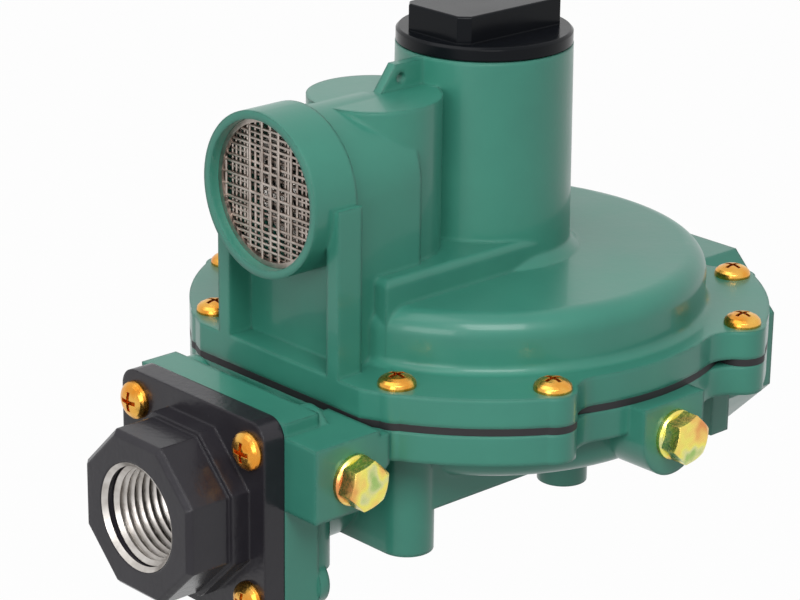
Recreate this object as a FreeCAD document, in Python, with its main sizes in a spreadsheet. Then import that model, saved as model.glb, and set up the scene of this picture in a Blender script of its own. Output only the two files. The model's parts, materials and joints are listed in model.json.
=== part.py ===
import FreeCAD, Part
import Sketcher
import math
import os

# Spring-loaded gas pressure regulator, millimetres.
# The origin is where the pipe axis (X) crosses the diaphragm axis (Z).
# The inlet and the screened vent look along -X, the outlet along +X, and the tap plugs along -Y.

doc = FreeCAD.newDocument("regulator")
sheet = doc.addObject("Spreadsheet::Sheet", "sizes")

SIZES = (
    # joint between the two castings
    ("seam_height", 17.1),
    ("diaphragm_edge", 1.5),
    ("upper_flange", 6.0),
    ("lower_flange", 6.2),
    ("recess_radius", 52.0),
    ("lobe_radius", 60.3),
    ("lobe_end", 4.9),
    ("lobe_blend", 7.0),
    ("flat_reach", 55.3),
    ("bolt_circle", 55.8),
    ("bolt_spread", 15.5),
    # spring case
    ("case_wall", 2.6),
    ("drum_radius", 47.0),
    ("drum_height", 11.5),
    ("drum_shoulder", 4.5),
    ("drum_roof", 2.8),
    ("drum_foot", 1.8),
    ("tower_foot", 18.6),
    ("tower_tip", 18.1),
    ("tower_height", 42.8),
    ("tower_blend", 2.0),
    ("tower_bore", 14.6),
    ("plateau_half", 18.5),
    ("plateau_rise", 5.7),
    ("plateau_reach", 43.3),
    ("plateau_edge", 1.5),
    ("chimney_offset", 30.0),
    ("chimney_radius", 13.5),
    ("chimney_height", 37.1),
    ("chimney_bore", 10.6),
    ("chimney_roof", 3.6),
    ("vent_height", 58.4),
    ("vent_tube", 15.0),
    ("vent_collar", 16.6),
    ("vent_collar_length", 10.6),
    ("vent_opening", 14.9),
    ("vent_opening_depth", 5.3),
    ("vent_thread", 12.95),
    ("vent_bore", 12.4),
    ("vent_thread_length", 15.0),
    ("housing_half", 15.0),
    ("frame_half", 18.0),
    ("frame_length", 6.1),
    ("frame_rib", 3.4),
    ("frame_recess", 5.6),
    ("port_radius", 7.0),
    ("port_lip", 2.9),
    ("lug_thickness", 2.2),
    ("lug_foot", 29.3),
    ("lug_tip", 25.4),
    ("lug_rise", 5.2),
    ("lug_hole", 1.1),
    ("lug_hole_offset", 24.0),
    ("lug_hole_rise", 2.3),
    # lower casing
    ("bowl_radius", 46.6),
    ("bowl_depth", 9.4),
    ("bowl_floor", 3.0),
    ("trough_half", 28.0),
    ("trough_reach", 40.0),
    ("trough_depth", 15.0),
    ("duct_radius", 16.0),
    ("duct_depth", 10.5),
    ("duct_inner", 9.5),
    ("neck_half", 16.0),
    ("toe_depth", 13.0),
    ("toe_radius", 5.5),
    ("front_toe_back", 56.8),
    ("front_toe_half", 21.0),
    ("wall_front", 46.8),
    ("wall_half", 28.4),
    ("foot_depth", 10.7),
    ("foot_radius", 5.2),
    ("foot_station", 3.0),
    ("rear_wall_front", 43.3),
    ("rear_wall_back", 48.7),
    ("duct_front", 40.0),
    ("duct_back", 48.0),
    ("pad_half", 21.8),
    ("pad_top", 21.0),
    ("pad_front", 72.0),
    ("pad_depth", 8.6),
    ("pad_corner", 4.0),
    ("thread_lead", 0.8),
    ("neck_top", 14.0),
    ("tap_height", 10.1),
    ("tap_boss_drop", 7.0),
    ("tap_boss_rise", 8.1),
    ("tap_boss_slope", 7.7),
    ("tap_boss_reach", 30.8),
    ("tap_boss_overlap", 2.5),
    ("tap_boss_room", 0.6),
    ("outlet_tap_proud", 3.6),
    ("outlet_tap_radius", 8.6),
    ("pad_boss", 5.3),
    ("pad_boss_length", 2.3),
    ("outlet_hub", 18.6),
    ("outlet_reach", 72.0),
    ("outlet_hex", 20.4),
    ("outlet_hex_length", 14.0),
    ("outlet_thread", 12.95),
    ("outlet_thread_length", 16.0),
    ("outlet_bore", 12.2),
    # inlet body
    ("plate_half", 21.7),
    ("plate_thickness", 5.0),
    ("inlet_octagon", 16.25),
    ("inlet_octagon_length", 14.0),
    ("inlet_step", 17.2),
    ("inlet_step_length", 4.2),
    ("inlet_bevel", 1.0),
    ("inlet_thread", 10.4),
    ("inlet_thread_length", 16.0),
    ("inlet_passage", 7.0),
    ("spigot_radius", 12.4),
    ("spigot_length", 26.0),
    ("nozzle_tube", 9.5),
    ("nozzle_tube_end", 24.0),
    ("spigot_clearance", 0.3),
    ("seal_radius", 14.6),
    ("seal_section", 1.8),
    ("plate_bolt_y", 17.2),
    ("plate_bolt_z", 15.6),
    # pan-head screws
    ("screw_head", 3.8),
    ("screw_head_height", 2.4),
    ("screw_head_rim", 0.5),
    ("screw_shank", 1.95),
    ("screw_length", 13.0),
    ("plate_screw_length", 12.0),
    ("plate_screw_head", 3.9),
    ("screw_hole", 2.35),
    ("thread_clearance", 0.05),
    ("screw_tip_room", 1.5),
    # tap plugs
    ("plug_collar", 5.1),
    ("plug_collar_height", 1.3),
    ("plug_hex", 5.1),
    ("plug_hex_height", 3.9),
    ("plug_crown", 0.5),
    ("plug_shank", 4.6),
    ("plug_length", 8.0),
    ("tap_drill", 1.5),
    # closing cap
    ("cap_gap", 0.3),
    ("cap_disc", 18.0),
    ("cap_disc_height", 2.7),
    ("cap_head_x", 14.5),
    ("cap_head_y", 9.0),
    ("cap_head_height", 5.5),
    ("cap_head_corner", 2.0),
    ("cap_thread", 15.15),
    ("cap_thread_length", 8.0),
    ("cap_hollow", 12.0),
    ("cap_bore_clearance", 0.05),
    ("cap_seal_inner", 15.5),
    ("cap_seal_outer", 17.0),
    ("cap_seal_height", 1.0),
    ("cap_seal_clearance", 0.15),
    # main spring and its adjuster
    ("adjuster_height", 60.0),
    ("adjuster_length", 6.0),
    ("adjuster_clearance", 0.1),
    ("adjuster_socket", 7.0),
    ("adjuster_socket_depth", 4.5),
    ("seat_gap", 0.3),
    ("seat_thickness", 2.2),
    ("seat_radius", 13.8),
    ("seat_pilot", 9.8),
    ("seat_pilot_height", 2.5),
    ("spring_mean", 11.6),
    ("spring_wire", 1.15),
    ("spring_turns", 7.0),
    ("spring_gap", 0.05),
    # diaphragm, plates and post
    ("rubber_drop", 4.2),
    ("rubber_gap", 0.3),
    ("rubber_shoulder", 40.5),
    ("rubber_hole", 4.4),
    ("plate_radius", 30.0),
    ("plate_gauge", 1.2),
    ("plate_rim", 3.0),
    ("plate_lift", 0.1),
    ("post_radius", 4.0),
    ("post_fit", 0.08),
    ("post_flange", 9.0),
    ("post_flange_height", 1.2),
    ("post_bottom", 3.8),
    ("post_slot", 4.0),
    ("post_slot_width", 3.2),
    ("stem_radius", 2.6),
    ("stem_length", 16.0),
    ("retainer_radius", 7.4),
    ("retainer_height", 2.5),
    ("relief_mean", 5.6),
    ("relief_wire", 0.55),
    ("relief_turns", 4.5),
    # valve and lever
    ("tip_height", 6.6),
    ("pivot_offset", 24.0),
    ("pivot_rise", 2.0),
    ("lever_thickness", 2.6),
    ("lever_half", 0.9),
    ("lever_tip", 1.7),
    ("lever_hub", 2.8),
    ("pin_radius", 1.5),
    ("pin_clearance", 0.05),
    ("seat_lip", 16.0),
    ("orifice_bore", 3.2),
    ("orifice_lip", 4.2),
    ("orifice_nose", 5.6),
    ("orifice_nose_length", 4.0),
    ("orifice_hex", 8.2),
    ("orifice_hex_length", 4.0),
    ("orifice_shank", 6.4),
    ("orifice_shank_length", 9.0),
    ("valve_lift", 1.43),
    ("valve_shut_gap", 0.1),
    ("disc_radius", 6.5),
    ("disc_thickness", 3.0),
    ("disc_proud", 0.3),
    ("cup_radius", 8.0),
    ("cup_depth", 4.2),
    ("rod_radius", 3.4),
    ("rod_end", 39.5),
    ("bracket_front", 8.0),
    ("bracket_back", 38.0),
    ("bracket_half", 9.0),
    ("bracket_base", 2.0),
    ("bracket_wall", 4.0),
    ("bracket_cheek_inner", 4.2),
    ("bracket_cheek", 2.0),
    ("bracket_cheek_length", 8.0),
    ("bracket_cheek_rise", 2.6),
    ("bracket_screw_inset", 8.5),
    ("bracket_screw_head", 2.6),
    ("bracket_screw_head_height", 1.6),
    ("bracket_screw_shank", 1.4),
    ("bracket_screw_length", 4.4),
    # vent valve
    ("flapper_radius", 9.0),
    ("flapper_thickness", 1.2),
    ("flapper_gap", 0.1),
    ("flapper_stem", 2.4),
    ("flapper_stem_length", 11.0),
    ("guide_radius", 1.2),
    ("guide_clearance", 0.1),
    ("guide_head", 4.2),
    ("guide_head_height", 2.4),
    ("guide_bottom", 46.2),
    ("vent_spring_mean", 3.4),
    ("vent_spring_wire", 0.35),
    ("vent_spring_turns", 9.0),
    # vent screen
    ("screen_setback", 2.2),
    ("screen_gauge", 0.6),
    ("screen_dish", 4.6),
    ("screen_ring_width", 1.0),
    ("screen_ring_length", 0.9),
    ("screen_fit", 0.05),
)


class Size:
    """A length with its value and the expression that gives it."""

    def __init__(self, text, value):
        self.text = text
        self.value = value

    def __add__(self, other):
        other = size(other)
        return Size("(%s + %s)" % (self.text, other.text), self.value + other.value)

    def __sub__(self, other):
        other = size(other)
        return Size("(%s - %s)" % (self.text, other.text), self.value - other.value)

    def __mul__(self, other):
        other = size(other)
        return Size("(%s * %s)" % (self.text, other.text), self.value * other.value)

    def __truediv__(self, other):
        other = size(other)
        return Size("(%s / %s)" % (self.text, other.text), self.value / other.value)

    def __neg__(self):
        return Size("(0 - %s)" % self.text, -self.value)

    __radd__ = __add__


def size(value):
    if isinstance(value, Size):
        return value
    return Size("%.6g" % value, float(value))


class Named:
    """The sheet's sizes, each under its own name."""


s = Named()
for row, (alias, number) in enumerate(SIZES, start=1):
    sheet.set("A%d" % row, alias)
    sheet.set("B%d" % row, str(number))
    sheet.setAlias("B%d" % row, alias)
    setattr(s, alias, Size("sizes.%s" % alias, float(number)))
doc.recompute()


def polar(radius, degrees):
    """X and Y of a point at a radius and an angle in degrees."""
    radius = size(radius)
    degrees = size(degrees)
    turn = math.radians(degrees.value)
    across = Size("(%s * cos(%s * 1deg))" % (radius.text, degrees.text), radius.value * math.cos(turn))
    along = Size("(%s * sin(%s * 1deg))" % (radius.text, degrees.text), radius.value * math.sin(turn))
    return across, along


AXES = {
    "+Z": FreeCAD.Rotation(),
    "-Z": FreeCAD.Rotation(FreeCAD.Vector(1, 0, 0), 180),
    "+X": FreeCAD.Rotation(FreeCAD.Vector(0, 1, 0), 90),
    "-X": FreeCAD.Rotation(FreeCAD.Vector(0, 1, 0), -90),
    "+Y": FreeCAD.Rotation(FreeCAD.Vector(1, 0, 0), -90),
    "-Y": FreeCAD.Rotation(FreeCAD.Vector(1, 0, 0), 90),
}
PIECES = []


def bind(thing, prop, value):
    value = size(value)
    thing.setExpression(prop, value.text)


def put(thing, at, axis="+Z", turn=None):
    """Place a thing at a point with its own Z along an axis."""
    rotation = AXES[axis]
    if turn is not None:
        rotation = rotation.multiply(FreeCAD.Rotation(FreeCAD.Vector(0, 0, 1), turn))
    spots = [size(v) for v in at]
    base = FreeCAD.Vector(spots[0].value, spots[1].value, spots[2].value)
    thing.Placement = FreeCAD.Placement(base, rotation)
    for letter, spot in zip("xyz", spots):
        bind(thing, "Placement.Base.%s" % letter, spot)


class Piece:
    """One sub-part: a body made of features in order."""

    def __init__(self, name, at=(0, 0, 0), axis="+Z", turn=None):
        self.name = name
        self.body = doc.addObject("PartDesign::Body", name)
        self.body.Label = name
        put(self.body, at, axis, turn)
        self.count = 0
        PIECES.append(self.body)

    def feature(self, kind, label):
        self.count += 1
        return self.body.newObject("PartDesign::%s" % kind, "%s_%s_%d" % (self.name, label, self.count))

    def cylinder(self, add, radius, height, at, axis="+Z", angle=None, turn=None):
        item = self.feature("AdditiveCylinder" if add else "SubtractiveCylinder", "round")
        bind(item, "Radius", radius)
        bind(item, "Height", height)
        if angle is not None:
            bind(item, "Angle", angle)
        put(item, at, axis, turn)
        return item

    def cone(self, add, first, second, height, at, axis="+Z"):
        item = self.feature("AdditiveCone" if add else "SubtractiveCone", "taper")
        bind(item, "Radius1", first)
        bind(item, "Radius2", second)
        bind(item, "Height", height)
        put(item, at, axis)
        return item

    def box(self, add, low, high):
        """A block between two corners."""
        item = self.feature("AdditiveBox" if add else "SubtractiveBox", "block")
        for prop, first, last in zip(("Length", "Width", "Height"), low, high):
            bind(item, prop, size(last) - size(first))
        put(item, low)
        return item

    def prism(self, add, sides, corner, height, at, axis="+Z", turn=0.0):
        item = self.feature("AdditivePrism" if add else "SubtractivePrism", "prism")
        item.Polygon = sides
        bind(item, "Circumradius", corner)
        bind(item, "Height", height)
        put(item, at, axis, turn)
        return item

    def sketch(self, plane, points):
        """A closed outline of straight lines, each corner held by its two coordinates."""
        self.count += 1
        outline = self.body.newObject("Sketcher::SketchObject", "%s_outline_%d" % (self.name, self.count))
        for origin in self.body.Origin.OriginFeatures:
            if origin.Role == plane:
                outline.AttachmentSupport = [(origin, "")]
        outline.MapMode = "FlatFace"
        corners = [(size(u), size(v)) for u, v in points]
        spots = [FreeCAD.Vector(u.value, v.value, 0) for u, v in corners]
        for index, spot in enumerate(spots):
            following = spots[(index + 1) % len(spots)]
            outline.addGeometry(Part.LineSegment(spot, following), False)
        for index in range(len(spots)):
            following = (index + 1) % len(spots)
            outline.addConstraint(Sketcher.Constraint("Coincident", index, 2, following, 1))
        for index, (u, v) in enumerate(corners):
            for kind, datum, axis in (("DistanceX", u, -2), ("DistanceY", v, -1)):
                if abs(datum.value) < 1e-9:
                    outline.addConstraint(Sketcher.Constraint("PointOnObject", index, 1, axis))
                    continue
                number = outline.addConstraint(Sketcher.Constraint(kind, index, 1, datum.value))
                outline.setExpression("Constraints[%d]" % number, datum.text)
        return outline

    def revolve(self, add, points):
        """Turn an outline of (radius, height) points about the piece's Z axis."""
        outline = self.sketch("XZ_Plane", points)
        item = self.feature("Revolution" if add else "Groove", "turned")
        item.Profile = outline
        item.ReferenceAxis = (outline, ["V_Axis"])
        item.Angle = 360.0
        return item

    def pad(self, points, thickness):
        """A plate of an outline in X and Z, evenly about Y = 0."""
        outline = self.sketch("XZ_Plane", points)
        item = self.feature("Pad", "plate")
        item.Profile = outline
        item.Midplane = True
        bind(item, "Length", thickness)
        return item

    def dress(self, kind, wanted, amount):
        """Round or bevel the edges that a test picks."""
        base = self.body.Tip
        base.recompute(True)
        names = []
        for number, edge in enumerate(base.Shape.Edges, start=1):
            if wanted(edge):
                names.append("Edge%d" % number)
        if not names:
            raise ValueError("%s: no edge to %s" % (self.name, kind))
        item = self.feature(kind, kind.lower())
        item.Base = (base, names)
        bind(item, "Radius" if kind == "Fillet" else "Size", amount)
        return item


class Casting:
    """A sub-part fused and cut from primitives, in groups."""

    def __init__(self, name):
        self.name = name
        self.base = None
        self.adding = True
        self.waiting = []
        self.count = 0

    def part(self, kind, label, add):
        if add != self.adding:
            self.settle()
            self.adding = add
        self.count += 1
        item = doc.addObject("Part::%s" % kind, "%s_%s_%d" % (self.name, label, self.count))
        self.waiting.append(item)
        return item

    def settle(self):
        """Join what waits to the casting, or cut it away."""
        if not self.waiting:
            return
        self.count += 1
        if self.adding:
            shapes = self.waiting if self.base is None else [self.base] + self.waiting
            if len(shapes) == 1:
                self.base = shapes[0]
                self.waiting = []
                return
            joined = doc.addObject("Part::MultiFuse", "%s_joined_%d" % (self.name, self.count))
            joined.Shapes = shapes
        else:
            tool = self.waiting[0]
            if len(self.waiting) > 1:
                tool = doc.addObject("Part::MultiFuse", "%s_tools_%d" % (self.name, self.count))
                tool.Shapes = self.waiting
            joined = doc.addObject("Part::Cut", "%s_cut_%d" % (self.name, self.count))
            joined.Base = self.base
            joined.Tool = tool
        joined.Refine = True
        self.base = joined
        self.waiting = []

    def cylinder(self, add, radius, height, at, axis="+Z", angle=None, turn=None):
        item = self.part("Cylinder", "round", add)
        bind(item, "Radius", radius)
        bind(item, "Height", height)
        if angle is not None:
            bind(item, "Angle", angle)
        put(item, at, axis, turn)
        return item

    def cone(self, add, first, second, height, at, axis="+Z"):
        item = self.part("Cone", "taper", add)
        bind(item, "Radius1", first)
        bind(item, "Radius2", second)
        bind(item, "Height", height)
        put(item, at, axis)
        return item

    def box(self, add, low, high):
        """A block between two corners."""
        item = self.part("Box", "block", add)
        for prop, first, last in zip(("Length", "Width", "Height"), low, high):
            bind(item, prop, size(last) - size(first))
        put(item, low)
        return item

    def prism(self, add, sides, corner, height, at, axis="+Z", turn=0.0):
        item = self.part("Prism", "prism", add)
        item.Polygon = sides
        bind(item, "Circumradius", corner)
        bind(item, "Height", height)
        put(item, at, axis, turn)
        return item

    def wedge(self, add, low, high, top_low, top_high):
        """A block whose top face runs between its own two X values."""
        item = self.part("Wedge", "wedge", add)
        width = size(high[1]) - size(low[1])
        rise = size(high[2]) - size(low[2])
        foot = size(high[0]) - size(low[0])
        bind(item, "Xmin", 0)
        bind(item, "Xmax", foot)
        bind(item, "Ymin", 0)
        bind(item, "Ymax", rise)
        bind(item, "Zmin", 0)
        bind(item, "Zmax", width)
        bind(item, "X2min", size(top_low) - low[0])
        bind(item, "X2max", size(top_high) - low[0])
        bind(item, "Z2min", 0)
        bind(item, "Z2max", width)
        put(item, (low[0], high[1], low[2]), "-Y")
        return item

    def dress(self, kind, wanted, amount):
        """Round or bevel the edges that a test picks."""
        self.settle()
        self.base.recompute(True)
        names = []
        for number, edge in enumerate(self.base.Shape.Edges, start=1):
            if wanted(edge):
                names.append((number, size(amount).value, size(amount).value))
        if not names:
            raise ValueError("%s: no edge to %s" % (self.name, kind))
        self.count += 1
        item = doc.addObject("Part::%s" % kind, "%s_%s_%d" % (self.name, kind.lower(), self.count))
        item.Base = self.base
        item.Edges = names
        self.base = item
        return item

    def finish(self):
        self.settle()
        self.base.Label = self.name
        PIECES.append(self.base)


def is_ring(edge, radius, height):
    """Whether an edge lies on a level circle about the Z axis."""
    if not isinstance(edge.Curve, Part.Circle):
        return False
    centre = edge.Curve.Center
    level = abs(centre.z - height) < 0.01 and math.hypot(centre.x, centre.y) < 0.01
    return level and abs(edge.Curve.Radius - radius) < 0.01


def is_upright(edge):
    """Whether an edge is straight and parallel to Z."""
    if not isinstance(edge.Curve, Part.Line):
        return False
    return abs(edge.tangentAt(edge.FirstParameter).z) > 0.999


# Levels and stations that several pieces share.
upper_base = s.seam_height + s.diaphragm_edge
flange_top = upper_base + s.upper_flange
drum_top = flange_top + s.drum_height
tower_top = drum_top + s.tower_height
lower_base = s.seam_height - s.lower_flange
cavity_top = drum_top - s.drum_roof
chimney_top = drum_top + s.chimney_height
plateau_top = drum_top + s.plateau_rise
port_top = drum_top + s.port_lip
case_cavity = s.drum_radius - s.case_wall
duct_floor = -s.duct_depth
housing_front = s.flat_reach - s.frame_length
vent_reach = housing_front + s.vent_collar_length
tap_reach = s.recess_radius + s.outlet_tap_proud
flange_edge = s.flat_reach + s.tap_boss_room
tap_x = (s.pad_front + flange_edge - s.tap_boss_overlap) / 2.0
bowl_bottom = lower_base - s.bowl_depth
trough_bottom = lower_base - s.trough_depth
plate_front = s.pad_front + s.plate_thickness
inlet_face = plate_front + s.inlet_octagon_length
thread_hole = s.screw_shank + s.thread_clearance
tower_thread = s.cap_thread + s.cap_bore_clearance
OCTAGON = 1.0 / math.cos(math.pi / 8)
HEXAGON = 1.0 / math.cos(math.pi / 6)


def bolt_angles():
    for quarter in (45.0, 135.0, 225.0, 315.0):
        for side in (-1.0, 1.0):
            yield size(quarter) + s.bolt_spread * side


def add_flange(piece, bottom, height):
    """The lobed flange outline shared by both castings and the diaphragm edge."""
    piece.cylinder(True, s.recess_radius, height, (0, 0, bottom))
    lobe_span = s.bolt_spread * 2.0
    for quarter, span in ((45.0, lobe_span), (135.0, lobe_span + 90.0), (315.0, lobe_span)):
        lobe = piece.cylinder(True, s.lobe_radius, height, (0, 0, bottom), angle=span)
        start = FreeCAD.Rotation(FreeCAD.Vector(0, 0, 1), quarter - s.bolt_spread.value)
        lobe.Placement = FreeCAD.Placement(lobe.Placement.Base, start)
        bind(lobe, "Placement.Rotation.Angle", Size("%g - %s" % (quarter, s.bolt_spread.text), 0))
    for angle in bolt_angles():
        x, y = polar(s.bolt_circle, angle)
        piece.cylinder(True, s.lobe_end, height, (x, y, bottom))
    # the inlet side is cut flat
    piece.box(False, (-(s.flat_reach + s.lobe_radius), -s.lobe_radius, bottom),
              (-s.flat_reach, s.lobe_radius, bottom + height))


def flange_blends(piece):
    """Soften the inner corners where the lobes leave the recessed edge."""
    inner = s.recess_radius.value - 1.0
    outer = s.lobe_radius.value - 0.2

    def wanted(edge):
        if not is_upright(edge):
            return False
        middle = edge.CenterOfMass
        if middle.x < -s.flat_reach.value + 6.0:
            return False
        return inner < math.hypot(middle.x, middle.y) < outer

    piece.dress("Fillet", wanted, s.lobe_blend)


def cut_flange_holes(piece, radius, bottom, height):
    for angle in bolt_angles():
        x, y = polar(s.bolt_circle, angle)
        piece.cylinder(False, radius, height, (x, y, bottom))


def make_spring_case():
    piece = Casting("spring_case")
    add_flange(piece, upper_base, s.upper_flange)
    flange_blends(piece)
    piece.cylinder(True, s.drum_radius, s.drum_height, (0, 0, flange_top))
    piece.dress("Fillet", lambda e: is_ring(e, s.drum_radius.value, drum_top.value), s.drum_shoulder)
    piece.dress("Fillet", lambda e: is_ring(e, s.drum_radius.value, flange_top.value), s.drum_foot)
    piece.box(True, (-s.plateau_reach, -s.plateau_half, flange_top), (0, s.plateau_half, plateau_top))
    top = plateau_top.value
    piece.dress("Fillet", lambda e: is_level(e, top) and e.CenterOfMass.x < -0.1, s.plateau_edge)
    piece.cone(True, s.tower_foot, s.tower_tip, s.tower_height, (0, 0, drum_top))
    piece.cone(True, s.tower_foot + s.tower_blend, s.tower_foot, s.tower_blend, (0, 0, drum_top))
    # housing that carries the vent tube down to the flange
    piece.box(True, (-housing_front, -s.housing_half, upper_base),
              (-(s.chimney_offset + 1.0), s.housing_half, s.vent_height))
    piece.cylinder(True, s.vent_tube, housing_front - s.chimney_offset - 1.0,
                   (-(s.chimney_offset + 1.0), 0, s.vent_height), "-X")
    piece.cylinder(True, s.chimney_radius, chimney_top - flange_top, (-s.chimney_offset, 0, flange_top))
    piece.box(True, (-s.flat_reach, -s.frame_half, upper_base),
              (-housing_front, s.frame_half, s.vent_height))
    recess_half = s.frame_half - s.frame_rib
    piece.box(False, (-(s.flat_reach + 1.0), -recess_half, flange_top),
              (-(s.flat_reach - s.frame_recess), recess_half, s.vent_height))
    piece.cylinder(True, s.vent_collar, s.vent_collar_length, (-housing_front, 0, s.vent_height), "-X")
    half = s.lug_thickness / 2.0
    root = -(s.tower_tip - 1.5)
    piece.wedge(True, (-s.lug_foot, -half, chimney_top), (root, half, chimney_top + s.lug_rise),
                -s.lug_tip, root)
    piece.cylinder(False, s.lug_hole, s.lug_thickness * 2.0,
                   (-s.lug_hole_offset, s.lug_thickness, chimney_top + s.lug_hole_rise), "-Y")
    # hollows
    piece.cylinder(False, case_cavity, cavity_top - upper_base, (0, 0, upper_base))
    piece.cylinder(False, s.tower_bore, tower_top - cavity_top, (0, 0, cavity_top))
    piece.cylinder(False, tower_thread, s.cap_thread_length, (0, 0, tower_top - s.cap_thread_length))
    piece.cylinder(False, s.port_radius, port_top - cavity_top, (-s.chimney_offset, 0, cavity_top))
    piece.cylinder(False, s.chimney_bore, chimney_top - s.chimney_roof - port_top,
                   (-s.chimney_offset, 0, port_top))
    piece.cylinder(False, s.vent_bore, vent_reach - s.chimney_offset,
                   (-s.chimney_offset, 0, s.vent_height), "-X")
    thread_mouth = vent_reach - s.vent_opening_depth
    piece.cylinder(False, s.vent_thread, s.vent_thread_length,
                   (-(thread_mouth - s.vent_thread_length), 0, s.vent_height), "-X")
    piece.cone(False, s.vent_thread, s.vent_thread + s.thread_lead, s.thread_lead,
               (-(thread_mouth - s.thread_lead), 0, s.vent_height), "-X")
    piece.cylinder(False, s.vent_opening, s.vent_opening_depth,
                   (-(vent_reach - s.vent_opening_depth), 0, s.vent_height), "-X")
    cut_flange_holes(piece, s.screw_hole, upper_base, s.upper_flange)
    piece.finish()


def is_level(edge, height):
    """Whether an edge is straight and lies at one height."""
    if not isinstance(edge.Curve, Part.Line):
        return False
    return abs(edge.CenterOfMass.z - height) < 0.01 and abs(edge.tangentAt(edge.FirstParameter).z) < 0.001


def add_toe(piece, front, back, half, top):
    """A wall across the casing with round ends, from the toe level up."""
    radius = s.toe_radius
    piece.box(True, (-front, -(half - radius), -s.toe_depth), (-back, half - radius, top))
    for side in (-1.0, 1.0):
        piece.cylinder(True, radius, s.toe_depth + top, (-(back + radius), (half - radius) * side, -s.toe_depth))


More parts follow.
